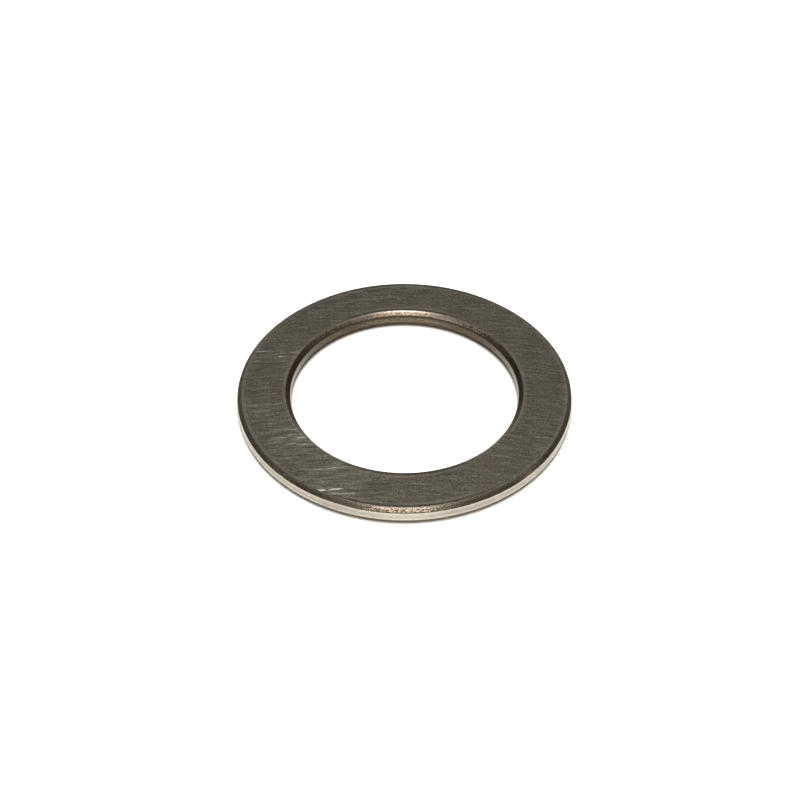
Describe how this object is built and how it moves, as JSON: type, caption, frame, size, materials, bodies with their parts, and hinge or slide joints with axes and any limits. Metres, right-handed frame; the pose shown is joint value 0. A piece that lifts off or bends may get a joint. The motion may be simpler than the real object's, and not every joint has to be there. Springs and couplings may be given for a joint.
{
  "type": "thrust washer",
  "caption": "Flat steel thrust washer: a plain ring with ground faces, chamfered edges and a wide bore, which takes axial load between a shoulder and a turning part.",
  "frame": {"origin": "centre of the lower face, on the ring's axis", "axes": "+Z along the ring's axis, from the lower face to the upper face"},
  "size_m": [0.0603, 0.0602, 0.0032],
  "materials": {
    "ground_steel": "satin"
  },
  "bodies": {
    "root": {"thrust_washer": "ground_steel"}
  },
  "joints": []
}
